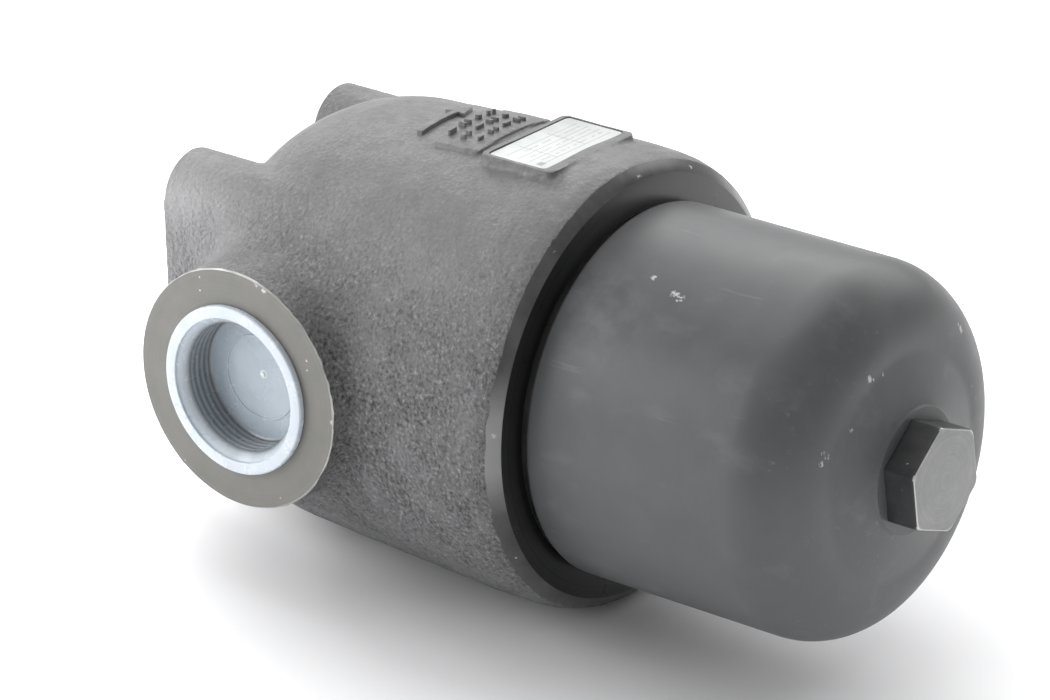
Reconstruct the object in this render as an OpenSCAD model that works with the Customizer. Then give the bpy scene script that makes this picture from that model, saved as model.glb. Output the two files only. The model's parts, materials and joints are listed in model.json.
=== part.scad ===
// High-pressure in-line filter: cast head with two ports, screw-off bowl, element and bypass valve.
// Frame: origin at the centre of the rear bolting face, on the bowl's axis.
// +X along the bowl's axis to the hexagon, -Y to the inlet port, +Y to the outlet port, +Z to the name plate.

/* [Head] */
// Length from the rear bolting face to the head's open face
head_len = 152; // [148:1:160]
// Largest radius of the casting
head_r = 74.7; // [74:0.1:78]
// Outer radius of the machined ring face at the open end
face_r = 69; // [66:0.5:71]
// Corner radius of the domed back
dome_corner_r = 55; // [50:1:58]
// Radius of the flat at the centre of the dome
dome_flat_r = 16; // [12:1:18]

/* [Ports] */
// Distance of the port axis from the rear face
port_x = 53; // [52:0.5:56]
// Distance across the two port faces
port_span = 156.6; // [152:0.2:164]
// Outer radius of the turned port collar
collar_r = 39.8; // [38:0.1:41]
// Bore radius of the port thread
port_thread_r = 22.42; // [22.3:0.02:22.6]
// Depth of the port thread
port_thread_depth = 24; // [20:1:25]

/* [Rear bosses] */
// Distance between the bolt holes across the ports
bolt_y = 73; // [70:0.5:76]
// Distance between the bolt holes, bottom to top
bolt_z = 82.5; // [80:0.5:86]
// Boss radius
boss_r = 14.2; // [13:0.1:15]
// Radius of the tapped bolt hole
bolt_hole_r = 5.1; // [4.2:0.1:5.2]
// Depth of the bolt hole
bolt_depth = 20; // [16:1:22]

/* [Bowl] */
// Outer radius of the bowl
bowl_r = 60.5; // [60:0.1:62]
// Length of bowl that stands out of the head
bowl_out = 100.5; // [98:0.5:130]
// Outer corner radius at the closed end
bowl_corner_r = 23; // [15:0.5:28]
// Gap between the head's face and the bowl's shoulder
shoulder_gap = 2.6; // [1.5:0.1:4]
// Bore radius of the bowl
bowl_bore_r = 46.5; // [46:0.1:47.5]
// Across-flats size of the hexagon
hex_af = 32; // [27:1:41]
// Height of the hexagon
hex_h = 11; // [8:0.5:16]
// Turn of the hexagon about the bowl axis
hex_turn = 38.6; // [0:0.1:60]

/* [Element] */
// Outer radius of the element
element_r = 44; // [43:0.1:45]
// Number of pleats
pleats = 56; // [40:2:64]

/* [Bypass valve] */
// Radius of the bypass hole
bypass_r = 11; // [9:0.5:12]
// Lift of the poppet
bypass_lift = 8; // [4:0.5:8]

/* [Name plate] */
// Length of the plate
plate_l = 40; // [36:1:42]
// Width of the plate
plate_w = 22.2; // [18:0.2:23]

/* [Hidden] */
$fn = 96;
dome_x = 1.5;                       // front of the flat at the dome's centre, just clear of the bolting face
rim_taper = 8;                      // length over which the casting draws in before the rim
rim_cone = 3;                       // length of the turned cone between the casting and the ring face
port_y = port_span / 2;
chamber_r = 47;                     // dirty-side chamber behind the bowl
chamber_x = 20;
seal_x = 96;                        // step where the bowl's sealing bore starts
seal_r = 54.08;                     // sealing bore
thread_x = 121;                     // step where the bowl thread starts
thread_r = 57.5;                    // bowl thread bore, as a plain cylinder
mouth_r = 58.9;                     // inner edge of the ring face
duct_r = 28;                        // solid wall round the outlet elbow, along the bowl axis
duct_x = 28;                        // its back end
duct_front = 98;                    // its front face
elbow_r = 20;                       // bore of the elbow along the bowl axis
out_r = 19;                         // bore of the elbow towards the outlet port
seat_x = 34;                        // bypass seat
neck_x = 100;                       // inner end of the bowl's neck
bowl_end = head_len + bowl_out;     // start of the raised end of the bowl
hex_x = bowl_end + 5.4;             // base of the hexagon
floor_x = 238;                      // bowl floor
cap_x = 110;                        // top end cap's plate
bot_x = 220;                        // bottom end cap's resin
plate_z = 73.3;                     // floor of the name plate pocket
plate_x = 119.8;

// Turns a solid of revolution about Z into one about X, with height running along +X.
module along_x() { rotate([0, 90, 0]) rotate([0, 0, 180]) children(); }
module rev(fn = 96) { along_x() rotate_extrude($fn = fn) children(); }
module tube_x(r1, r2, x1, x2) { along_x() translate([0, 0, x1]) difference() {
  cylinder(r = r2, h = x2 - x1);
  translate([0, 0, -1]) cylinder(r = r1, h = x2 - x1 + 2); } }
module rod_x(r, x1, x2) { along_x() translate([0, 0, x1]) cylinder(r = r, h = x2 - x1); }
// Cylinder along Y between two heights.
module rod_y(r, y1, y2, ra = -1) { translate([0, y1, 0]) rotate([-90, 0, 0]) cylinder(r1 = r, r2 = ra < 0 ? r : ra, h = y2 - y1); }
module plate2d(a, b, r) { translate([-a / 2 + r, -b / 2]) square([a - 2 * r, b]);
  translate([-a / 2, -b / 2 + r]) square([a, b - 2 * r]);
  for (x = [-1, 1], y = [-1, 1]) translate([x * (a / 2 - r), y * (b / 2 - r)]) circle(r = r, $fn = 48); }

// Half section of the casting: radius across, distance along the axis up.
module head_section() {
  translate([0, dome_x]) square([dome_flat_r, dome_corner_r]);
  intersection() {
    translate([dome_flat_r, dome_x + dome_corner_r]) circle(r = dome_corner_r);
    translate([dome_flat_r - 0.01, dome_x]) square([dome_corner_r + 1, dome_corner_r]);
  }
  polygon([[0, dome_x + dome_corner_r - 1], [dome_flat_r + dome_corner_r - 0.02, dome_x + dome_corner_r - 1],
    [dome_flat_r + dome_corner_r, dome_x + dome_corner_r], [head_r, head_len - 22], [head_r, head_len - 9 - rim_taper],
    [head_r - 0.6, head_len - rim_taper], [head_r - 1.9, head_len - rim_cone], [face_r, head_len], [0, head_len]]);
}

module port_boss(s) {
  translate([port_x, 0, 0]) mirror([0, s > 0 ? 0 : 1, 0]) {
    rod_y(collar_r, 30, port_y - 0.5);
    rod_y(collar_r, port_y - 0.5, port_y, collar_r - 0.5);
  }
}

module rear_bosses() {
  for (s = [-1, 1]) {
    translate([0, s * bolt_y / 2 - boss_r, -bolt_z / 2]) cube([50, 2 * boss_r, bolt_z]);
    for (t = [-1, 1]) translate([0, s * bolt_y / 2, t * bolt_z / 2]) rod_x(boss_r, 0, 56);
  }
}

module label_frame() {
  translate([plate_x + 0.6, 0, 62]) linear_extrude(12.4) plate2d(28.4, 42.6, 2.6);
}

module relief_pad() {
  intersection() {
    translate([84, -17, 55]) cube([18, 38, 30]);
    rod_x(74.7, 84, 102);
  }
  // rounded relief marks in three rows
  for (i = [0:2], j = [0:3]) translate([86.8 + 5.7 * i, -10.8 + 6.5 * j, 68])
    cylinder(r = 1.3, h = 7.4 - pow(-10.8 + 6.5 * j, 2) / 150, $fn = 24);
  // flow arrow from the inlet side to the outlet side
  translate([75.5, 0, 66]) linear_extrude(7.4) polygon([[-1.6, -12], [1.6, -12], [1.6, 5], [4.4, 5], [0, 13], [-4.4, 5], [-1.6, 5]]);
}

module filter_head() { color([0.3, 0.3, 0.31]) difference() {
  union() {
    difference() {
      union() {
        rev() head_section();
        rear_bosses();
        port_boss(-1);
        port_boss(1);
        label_frame();
        relief_pad();
      }
      // dirty-side chamber, sealing bore and bowl thread
      rod_x(chamber_r, chamber_x, head_len + 1);
      rod_x(seal_r, seal_x, head_len + 1);
      rod_x(thread_r, thread_x, head_len + 1);
      along_x() translate([0, 0, head_len - 1.4]) cylinder(r1 = thread_r, r2 = mouth_r, h = 1.4);
      along_x() translate([0, 0, head_len - 0.001]) cylinder(r = mouth_r, h = 2);
      // inlet passage
      translate([port_x, 0, 0]) rod_y(out_r, -port_y - 1, -chamber_r + 10);
    }
    // outlet elbow standing in the chamber
    rod_x(duct_r, duct_x, duct_front);
    translate([port_x, 0, 0]) rod_y(24.5, 0, chamber_r + 4);
  }
  // elbow bore, bypass hole, retaining ring groove and spigot thread
  rod_x(elbow_r, seat_x, duct_front + 1);
  rod_x(bypass_r, duct_x - 1, seat_x + 1);
  rod_x(21.3, 81, 82.7);
  rod_x(21.5, 85, duct_front + 1);
  translate([port_x, 0, 0]) rod_y(out_r, 0, port_y + 1);
  // port threads with lead-in chamfers
  for (s = [-1, 1]) translate([port_x, 0, 0]) mirror([0, s > 0 ? 0 : 1, 0]) {
    rod_y(port_thread_r, port_y - port_thread_depth, port_y + 1);
    rod_y(port_thread_r, port_y - 2.2, port_y, 24.7);
    rod_y(24.7, port_y - 0.001, port_y + 1);
  }
  // tapped bolt holes
  for (s = [-1, 1], t = [-1, 1]) translate([0, s * bolt_y / 2, t * bolt_z / 2]) rod_x(bolt_hole_r, -1, bolt_depth);
  // pocket for the name plate
  translate([plate_x, 0, plate_z]) linear_extrude(8) plate2d(plate_w + 0.7, plate_l + 0.7, 1.9);
} }

module name_plate() { color("white") translate([plate_x, 0, plate_z]) linear_extrude(0.8) plate2d(plate_w, plate_l, 1.6); }

module inlet_dust_plug() { color([0.8, 0.85, 0.92]) translate([port_x, -port_y, 0]) rotate([-90, 0, 0]) rotate_extrude()
  polygon([[0, 11.6], [20.6, 11.6], [21.2, 11], [21.2, 1.9], [24, -1.1], [24, -2.1], [27.6, -2.1], [28, -1.7], [28, -0.02],
    [24.45, -0.02], [22.34, 2.1], [22.34, 11.8], [21.2, 12.8], [0, 12.8]]); }

// Half section of the bowl.
module bowl_section() {
  difference() {
    union() {
      translate([0, neck_x]) square([54, thread_x - neck_x + 6]);
      translate([0, thread_x + 4]) square([57.42, 25]);
      translate([0, thread_x + 20]) square([55.5, 20]);
      translate([0, head_len + shoulder_gap + 3]) square([bowl_r, bowl_out - bowl_corner_r - shoulder_gap - 3]);
      translate([0, head_len + shoulder_gap]) square([bowl_r - 3, 4]);
      translate([bowl_r - 3, head_len + shoulder_gap + 3]) circle(r = 3, $fn = 48);
      intersection() {
        translate([bowl_r - bowl_corner_r, bowl_end - bowl_corner_r]) circle(r = bowl_corner_r);
        translate([bowl_r - bowl_corner_r - 1, bowl_end - bowl_corner_r - 1]) square([bowl_corner_r + 2, bowl_corner_r + 2]);
      }
      translate([0, floor_x - 10]) square([bowl_r - bowl_corner_r, bowl_end - floor_x + 10]);
      polygon([[0, bowl_end - 1], [bowl_r - bowl_corner_r, bowl_end - 1], [bowl_r - bowl_corner_r, bowl_end],
        [20.4, hex_x - 0.9], [20.4, hex_x], [0, hex_x]]);
    }
    translate([-1, neck_x - 1]) square([bowl_bore_r + 1, floor_x - neck_x + 1 - 6]);
    translate([-1, floor_x - 7]) square([bowl_bore_r - 5, 7]);
    intersection() {
      translate([bowl_bore_r - 6, floor_x - 6]) circle(r = 6, $fn = 48);
      translate([bowl_bore_r - 7, floor_x - 7]) square([8, 8]);
    }
    // seal groove
    translate([49.6, neck_x + 6]) square([8, 7.2]);
  }
}

module bowl() { color([0.36, 0.36, 0.37]) {
  rev(128) bowl_section();
  intersection() {
    rotate([hex_turn, 0, 0]) rotate([0, 90, 0]) rotate([0, 0, 90]) translate([0, 0, hex_x - 1]) cylinder(r = hex_af / sqrt(3), h = hex_h + 1, $fn = 6);
    along_x() translate([0, 0, hex_x - 1.5]) cylinder(r1 = hex_af / 2 + 7 + 2.3, r2 = hex_af / 2 + 1.5, h = hex_h + 1.5);
  }
} }

module seal_section(r1, r2, x1, x2, c = 1) { polygon([[r1 + c, x1], [r2 - c, x1], [r2, x1 + c], [r2, x2 - c], [r2 - c, x2], [r1 + c, x2], [r1, x2 - c], [r1, x1 + c]]); }

module bowl_o_ring() { color("black") rev() seal_section(49.65, 54.02, neck_x + 6.1, neck_x + 11.4, 1.3); }
module bowl_backup_ring() { color("ivory") rev() translate([49.65, neck_x + 11.5]) square([4.33, 1.6]); }

module element_spigot() { color([0.62, 0.6, 0.56]) difference() {
  union() {
    rod_x(21.42, 86, 97);
    rod_x(20, 96, 99);
    rod_x(27, 98.02, 103);
    rod_x(17.5, 102, 123);
    along_x() translate([0, 0, 123]) cylinder(r1 = 17.5, r2 = 16.3, h = 1.2);
  }
  rod_x(13.5, 85, 126);
  // spanner flats on the flange
  for (s = [-1, 1]) translate([98.6, s > 0 ? 23 : -33, -30]) cube([10, 10, 60]);
  // seal groove under the flange
  tube_x(21.9, 24.5, 97, 100);
} }
module spigot_seal_ring() { color("black") rev() seal_section(21.95, 24.45, duct_front + 0.02, 99.95, 0.6); }

module bypass_poppet() { color([0.7, 0.69, 0.66]) difference() {
  union() {
    rod_x(bypass_r - 0.6, 29.5, 35);
    rod_x(16, seat_x + 0.05, 39);
    rod_x(4, 38, 82);
    rod_x(7.4, 38, 42);
  }
  tube_x(11.6, 14.6, 33, 36);
} }
module bypass_seal() { color([0.25, 0.2, 0.18]) rev() translate([11.65, seat_x + 0.02]) square([2.9, 1.93]); }

module coil(rm, wire, x1, x2, turns, seg = 20, m = 8) {
  // closed tube swept round a helix about X, ends squared off by flat caps
  n = floor(turns * seg);
  pts = [for (i = [0:n], j = [0:m - 1]) let (t = i / n, a = 360 * turns * t, b = 360 * j / m, r = rm + wire * cos(b))
    [x1 + wire + (x2 - x1 - 2 * wire) * t + wire * sin(b), r * cos(a), r * sin(a)]];
  polyhedron(points = pts, faces = concat(
    [[for (j = [0:m - 1]) j]],
    [[for (j = [m - 1:-1:0]) n * m + j]],
    [for (i = [0:n - 1], j = [0:m - 1]) [i * m + j, (i + 1) * m + j, (i + 1) * m + (j + 1) % m, i * m + (j + 1) % m]]));
}
module bypass_spring() { color([0.75, 0.75, 0.77]) coil(10, 1.1, 39.02, 75.98, 6); }

module bypass_guide() { color([0.72, 0.7, 0.62]) {
  tube_x(16.5, 19.95, 76, 80.98);
  tube_x(4.06, 7.5, 76, 80.98);
  for (a = [30, 150, 270]) rotate([a, 0, 0]) translate([76, 7, -1.6]) cube([4.98, 10.2, 3.2]);
} }
module bypass_retaining_ring() { color([0.5, 0.5, 0.52]) difference() {
  tube_x(17.8, 21.2, 81.05, 82.6);
  rotate([-45, 0, 0]) translate([80, 10, -4]) cube([4, 14, 8]);
} }

module element_top_cap() { color([0.66, 0.67, 0.68]) difference() {
  union() {
    rod_x(element_r, cap_x, cap_x + 9);
    rod_x(22.5, 104, cap_x + 1);
  }
  rod_x(17.56, 103, cap_x + 10);
  rod_x(element_r - 0.8, cap_x + 1.2, cap_x + 10);
  rod_x(20.4, 105.6, 109.2);
} }
module element_seal_ring() { color("black") rev() seal_section(17.57, 20.35, 105.7, 109.1, 0.8); }
module element_top_potting() { color([0.75, 0.68, 0.45]) tube_x(18.2, element_r - 0.82, cap_x + 1.22, cap_x + 5); }
module element_bottom_potting() { color([0.75, 0.68, 0.45]) rod_x(element_r - 0.82, bot_x + 0.02, bot_x + 3.78); }
module element_bottom_cap() { color([0.66, 0.67, 0.68]) difference() {
  union() {
    rod_x(element_r, bot_x - 4, bot_x + 5);
    rod_x(9, bot_x + 4, bot_x + 9);
  }
  rod_x(element_r - 0.8, bot_x - 5, bot_x + 3.8);
} }

// Closed fold path: radial walls at a quarter pitch each side of a pleat's centre, joined at its tip and root.
function folds(n, ri, ro, w) = [for (i = [0:n - 1], k = [0:3]) let (s = k < 2 ? -1 : 1, r = (k == 0 || k == 3) ? ri : ro,
  a = 360 * (i + s * 0.25) / n + s * (w / r) * 180 / PI) [r * cos(a), r * sin(a)]];
module pleat_ring(n, ri, ro, t, x1, x2) { along_x() translate([0, 0, x1]) linear_extrude(x2 - x1) difference() {
  polygon(folds(n, ri + t, ro, t / 2));
  polygon(folds(n, ri, ro - t, -t / 2));
} }
module element_media() { color([0.93, 0.9, 0.8]) pleat_ring(pleats, 24, 42.2, 0.7, cap_x + 5.02, bot_x); }
module element_support_mesh() { color([0.7, 0.7, 0.7]) tube_x(22.9, 23.4, cap_x + 5.02, bot_x); }

// Rows of holes through the wall of a thin tube, staggered row to row.
module holes(r, x1, dx, nx, na, r_in, r_out) { for (i = [0:nx - 1], k = [0:na - 1])
  rotate([360 * (k + 0.25 + (i % 2) / 2) / na, 0, 0]) translate([x1 + dx * i, 0, r_in]) cylinder(r = r, h = r_out - r_in, $fn = 24); }
module element_core_tube() { color([0.6, 0.6, 0.62]) difference() {
  tube_x(21.3, 22.6, cap_x + 5.02, bot_x);
  holes(2.6, cap_x + 13, 12, 8, 8, 18, 26);
} }
module element_outer_wrap() { color([0.85, 0.85, 0.86]) difference() {
  tube_x(42.5, 43.1, cap_x + 9.3, bot_x - 4.3);
  holes(4, cap_x + 17, 12.5, 7, 12, 38, 47);
} }
module element_spring() { color([0.75, 0.75, 0.77]) coil(12, 1.2, bot_x + 5.03, floor_x - 0.03, 3); }

filter_head();
name_plate();
inlet_dust_plug();
bowl();
bowl_o_ring();
bowl_backup_ring();
element_spigot();
spigot_seal_ring();
bypass_poppet();
bypass_seal();
bypass_spring();
bypass_guide();
bypass_retaining_ring();
element_top_cap();
element_bottom_cap();
element_media();
element_support_mesh();
element_core_tube();
element_outer_wrap();
element_top_potting();
element_bottom_potting();
element_seal_ring();
element_spring();
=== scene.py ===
import bpy, bmesh, json, math
import numpy as np
from mathutils import Vector, Matrix


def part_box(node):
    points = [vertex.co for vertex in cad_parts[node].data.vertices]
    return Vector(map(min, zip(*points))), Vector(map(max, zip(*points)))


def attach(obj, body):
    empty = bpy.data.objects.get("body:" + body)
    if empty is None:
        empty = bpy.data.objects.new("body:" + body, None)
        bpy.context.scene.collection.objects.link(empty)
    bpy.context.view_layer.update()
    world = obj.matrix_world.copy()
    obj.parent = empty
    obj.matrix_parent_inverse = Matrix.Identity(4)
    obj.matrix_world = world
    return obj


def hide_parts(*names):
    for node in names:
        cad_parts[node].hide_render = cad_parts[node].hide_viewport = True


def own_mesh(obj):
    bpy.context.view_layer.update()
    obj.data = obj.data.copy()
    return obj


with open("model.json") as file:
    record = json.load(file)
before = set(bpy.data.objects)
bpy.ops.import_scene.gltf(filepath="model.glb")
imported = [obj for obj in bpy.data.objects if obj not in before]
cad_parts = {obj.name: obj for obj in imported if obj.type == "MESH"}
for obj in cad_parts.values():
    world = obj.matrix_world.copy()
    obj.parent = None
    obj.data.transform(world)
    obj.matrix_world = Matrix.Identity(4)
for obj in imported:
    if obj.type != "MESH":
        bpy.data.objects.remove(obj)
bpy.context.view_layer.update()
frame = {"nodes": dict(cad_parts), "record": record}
MM = 0.001
TAU = 2 * math.pi

# ------------------------------------------------------------------ sizes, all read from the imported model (mm)
def mmbox(node):
    lo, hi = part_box(node)
    return np.array(lo) * 1000, np.array(hi) * 1000

H_LO, H_HI = mmbox("filter_head")
HEAD_LEN = float(H_HI[0])
PORT_Y = float(H_HI[1])
P_LO, P_HI = mmbox("inlet_dust_plug")
PORT_X = float((P_LO[0] + P_HI[0]) / 2)
BO_LO, BO_HI = mmbox("bowl")
BOWL_R = float((BO_HI[1] - BO_LO[1]) / 2) + 0.03
HEX_FACE = float(BO_HI[0])
NECK_X = float(BO_LO[0])
SP_LO, SP_HI = mmbox("bypass_spring")
ES_LO, ES_HI = mmbox("element_spring")
NP_LO, NP_HI = mmbox("name_plate")
MOUNT = {m["name"]: m for m in frame["record"]["mounts"]}
RB = MOUNT["rear_bolts"]["dims"]
BOLT_Y, BOLT_Z = RB["spacing_x_mm"] / 2, RB["spacing_y_mm"] / 2
PORT_R = MOUNT["outlet_port"]["dims"]["r_mm"]

# ------------------------------------------------------------------ mesh helpers
def new_obj(name, verts, faces, smooth=True, sharp=None, scale=MM):
    me = bpy.data.meshes.new(name)
    v = np.asarray(verts, float) * scale
    if isinstance(faces, np.ndarray):
        nf, k = faces.shape
        me.vertices.add(len(v)); me.vertices.foreach_set("co", v.astype(np.float32).ravel())
        me.loops.add(nf * k); me.loops.foreach_set("vertex_index", faces.astype(np.int32).ravel())
        me.polygons.add(nf)
        me.polygons.foreach_set("loop_start", (np.arange(nf) * k).astype(np.int32))
        me.update(calc_edges=True)
        me.validate()
    else:
        me.from_pydata([tuple(p) for p in v], [], faces)
        me.update()
    if smooth:
        me.polygons.foreach_set("use_smooth", np.ones(len(me.polygons), bool))
        if sharp is not None:
            me.set_sharp_from_angle(angle=math.radians(sharp))
    ob = bpy.data.objects.new(name, me)
    bpy.context.scene.collection.objects.link(ob)
    return ob

def fix_normals(ob):
    bm = bmesh.new(); bm.from_mesh(ob.data)
    bmesh.ops.recalc_face_normals(bm, faces=bm.faces)
    bm.to_mesh(ob.data); bm.free(); ob.data.update()

def merge_close(ob, dist=1e-6):
    bm = bmesh.new(); bm.from_mesh(ob.data)
    bmesh.ops.remove_doubles(bm, verts=bm.verts, dist=dist)
    bmesh.ops.dissolve_degenerate(bm, edges=bm.edges, dist=1e-7)
    bm.to_mesh(ob.data); bm.free(); ob.data.update()

def rounded(pts, closed=False, n=6):
    """pts: (u, v[, radius]). Replaces each corner that has a radius by an arc."""
    out = []
    N = len(pts)
    for i, p in enumerate(pts):
        r = p[2] if len(p) > 2 else 0
        if r <= 0 or (not closed and i in (0, N - 1)):
            out.append((p[0], p[1])); continue
        a = np.array(pts[i - 1][:2], float); b = np.array(p[:2], float); c = np.array(pts[(i + 1) % N][:2], float)
        u = a - b; w = c - b
        lu, lw = np.linalg.norm(u), np.linalg.norm(w)
        u /= lu; w /= lw
        ang = math.acos(max(-1, min(1, float(u @ w))))
        if ang > math.pi - 0.02:
            out.append((p[0], p[1])); continue
        t = min(r / math.tan(ang / 2), 0.49 * lu, 0.49 * lw)
        rr = t * math.tan(ang / 2)
        bis = (u + w) / np.linalg.norm(u + w)
        cen = b + bis * rr / math.sin(ang / 2)
        p0 = b + u * t; p1 = b + w * t
        a0 = math.atan2(*(p0 - cen)[::-1]); a1 = math.atan2(*(p1 - cen)[::-1])
        d = (a1 - a0 + math.pi) % TAU - math.pi
        m = max(2, int(n * abs(d) / (math.pi / 2)) + 1)
        for k in range(m + 1):
            q = a0 + d * k / m
            out.append((cen[0] + rr * math.cos(q), cen[1] + rr * math.sin(q)))
    return out

def thread_rows(s0, s1, pitch, r_crest, depth, step, seg, taper=1.5, hand=1):
    """Rows (s, r[theta]) of a right-hand thread on a shaft: crest at r_crest, root r_crest - depth (depth < 0 cuts outward)."""
    th = np.arange(seg) * TAU / seg
    rows = []
    n = max(2, int(round((s1 - s0) / step)))
    for i in range(n + 1):
        s = s0 + (s1 - s0) * i / n
        ph = ((s / pitch - hand * th / TAU) % 1.0)
        tri = 1 - np.abs(2 * ph - 1)
        prof = np.clip((tri - 0.12) / 0.76, 0, 1)
        fade = min(1.0, (s - s0) / (taper * pitch)) * min(1.0, (s1 - s) / (taper * pitch))
        rows.append((s, r_crest - depth * prof * max(0.0, min(1.0, fade))))
    return rows

def lathe(name, rows, seg=192, axis="X", origin=(0, 0, 0), ring=False, sharp=32, flip=False):
    """rows: (s, r) with r a number or an array over theta; a first or last row with r == 0 is a pole. ring closes the rows on themselves."""
    th = np.arange(seg) * TAU / seg
    verts, idx = [], []
    for s, r in rows:
        if np.isscalar(r) and abs(r) < 1e-9:
            idx.append([len(verts)]); verts.append((s, 0.0, 0.0)); continue
        rr = np.full(seg, float(r)) if np.isscalar(r) else r
        base = len(verts)
        verts.extend(zip(np.full(seg, s), rr * np.cos(th), rr * np.sin(th)))
        idx.append(list(range(base, base + seg)))
    faces = []
    pairs = list(zip(idx[:-1], idx[1:])) + ([(idx[-1], idx[0])] if ring else [])
    for a, b in pairs:
        if len(a) == 1 and len(b) == 1:
            continue
        if len(a) == 1:
            faces += [(a[0], b[(j + 1) % seg], b[j]) for j in range(seg)]
        elif len(b) == 1:
            faces += [(a[j], a[(j + 1) % seg], b[0]) for j in range(seg)]
        else:
            faces += [(a[j], a[(j + 1) % seg], b[(j + 1) % seg], b[j]) for j in range(seg)]
    v = np.array(verts)
    if axis == "X":
        v = v[:, [0, 1, 2]]
    elif axis == "Y":          # s along +Y, theta from +Z to +X
        v = np.stack([v[:, 2], v[:, 0], v[:, 1]], 1)
    elif axis == "-Y":
        v = np.stack([v[:, 1], -v[:, 0], v[:, 2]], 1)
    elif axis == "Z":
        v = np.stack([v[:, 1], v[:, 2], v[:, 0]], 1)
    v = v + np.array(origin, float)
    ob = new_obj(name, v, [tuple(f) for f in faces], sharp=sharp)
    fix_normals(ob)
    if sharp is not None:
        ob.data.set_sharp_from_angle(angle=math.radians(sharp))
    return ob

def prof_rows(pts):
    return [(x, r) for r, x in pts]

def apply_mods(ob):
    bpy.context.view_layer.update()
    dg = bpy.context.evaluated_depsgraph_get()
    me = bpy.data.meshes.new_from_object(ob.evaluated_get(dg), preserve_all_data_layers=True, depsgraph=dg)
    old = ob.data
    ob.modifiers.clear()
    ob.data = me
    me.name = ob.name
    if old.users == 0:
        bpy.data.meshes.remove(old)

def boolean(ob, tool, op="DIFFERENCE", keep=False, solver="MANIFOLD"):
    m = ob.modifiers.new("b", "BOOLEAN")
    m.operation = op; m.object = tool
    try:
        m.solver = solver
    except TypeError:
        m.solver = "EXACT"
    apply_mods(ob)
    if not keep:
        bpy.data.objects.remove(tool)

def box_obj(name, lo, hi):
    lo, hi = np.array(lo, float), np.array(hi, float)
    v = [(x, y, z) for x in (lo[0], hi[0]) for y in (lo[1], hi[1]) for z in (lo[2], hi[2])]
    f = [(0, 1, 3, 2), (4, 6, 7, 5), (0, 4, 5, 1), (2, 3, 7, 6), (0, 2, 6, 4), (1, 5, 7, 3)]
    return new_obj(name, v, f, smooth=False)

def plate_loop(a, b, r, n=6):
    pts = []
    for cx, cy, a0 in ((a / 2 - r, b / 2 - r, 0), (-a / 2 + r, b / 2 - r, 90), (-a / 2 + r, -b / 2 + r, 180), (a / 2 - r, -b / 2 + r, 270)):
        for k in range(n + 1):
            q = math.radians(a0 + 90 * k / n)
            pts.append((cx + r * math.cos(q), cy + r * math.sin(q)))
    return pts

def prism(name, loop, z0, z1, origin=(0, 0, 0), bevel=0.0, sharp=30):
    """Upright prism over a loop in XY, with an optional bevelled top."""
    L = np.array(loop, float)
    c = L.mean(0)
    levels = [(z0, 0.0), (z1 - bevel, 0.0), (z1 - bevel * 0.3, bevel * 0.3), (z1, bevel)] if bevel else [(z0, 0.0), (z1, 0.0)]
    n = len(L)
    # inward offset by local normals
    e = np.roll(L, -1, 0) - np.roll(L, 1, 0)
    nrm = np.stack([e[:, 1], -e[:, 0]], 1); nrm /= np.linalg.norm(nrm, axis=1)[:, None] + 1e-12
    v = []
    for z, d in levels:
        P = L - nrm * d
        v += [(p[0], p[1], z) for p in P]
    f = []
    for k in range(len(levels) - 1):
        f += [(k * n + j, k * n + (j + 1) % n, (k + 1) * n + (j + 1) % n, (k + 1) * n + j) for j in range(n)]
    f.append(tuple(reversed(range(n))))
    f.append(tuple(range((len(levels) - 1) * n, len(levels) * n)))
    ob = new_obj(name, np.array(v) + np.array(origin, float), f, sharp=sharp)
    fix_normals(ob)
    ob.data.set_sharp_from_angle(angle=math.radians(sharp))
    return ob

def join(obs, name):
    bpy.ops.object.select_all(action="DESELECT")
    for o in obs:
        o.select_set(True)
    bpy.context.view_layer.objects.active = obs[0]
    bpy.ops.object.join()
    obs[0].name = name; obs[0].data.name = name
    return obs[0]

# ------------------------------------------------------------------ seeded lattice noise for real surface relief
def _hash(i, j, k, seed):
    h = (i.astype(np.int64) * 374761393 + j.astype(np.int64) * 668265263 + k.astype(np.int64) * 2147483647 + seed * 974634777) & 0xFFFFFFFF
    h = ((h ^ (h >> 13)) * 1274126177) & 0xFFFFFFFF
    h = h ^ (h >> 16)
    return (h & 0xFFFF) / 32767.5 - 1.0

def vnoise(p, scale, seed=0):
    q = p / scale
    i = np.floor(q).astype(np.int64); f = q - i
    f = f * f * f * (f * (f * 6 - 15) + 10)
    r = 0
    for dx in (0, 1):
        for dy in (0, 1):
            for dz in (0, 1):
                w = (f[:, 0] if dx else 1 - f[:, 0]) * (f[:, 1] if dy else 1 - f[:, 1]) * (f[:, 2] if dz else 1 - f[:, 2])
                r = r + w * _hash(i[:, 0] + dx, i[:, 1] + dy, i[:, 2] + dz, seed)
    return r

# ------------------------------------------------------------------ distance field of the raw casting
def smin(a, b, k):
    h = np.maximum(k - np.abs(a - b), 0) / k
    return np.minimum(a, b) - h * h * k * 0.25

def smax(a, b, k):
    return -smin(-a, -b, k)

# half section of the casting, the same steps as the CAD solid: radius, distance from the rear face
def arc(cx, cr, r, a0, a1, n):
    return [(cr + r * math.sin(math.radians(a0 + (a1 - a0) * i / n)), cx - r * math.cos(math.radians(a0 + (a1 - a0) * i / n))) for i in range(n + 1)]

SECTION = [(0, 1.5)] + arc(56.5, 16, 55, 0, 90, 36) + [(72.2, 78), (73.5, 105), (74.6, 126), (74.7, 134), (74.5, 140), (74.0, 145), (73.0, 148.6), (71.9, 150.6), (71.2, 152.6), (0, 152.6)]

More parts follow.
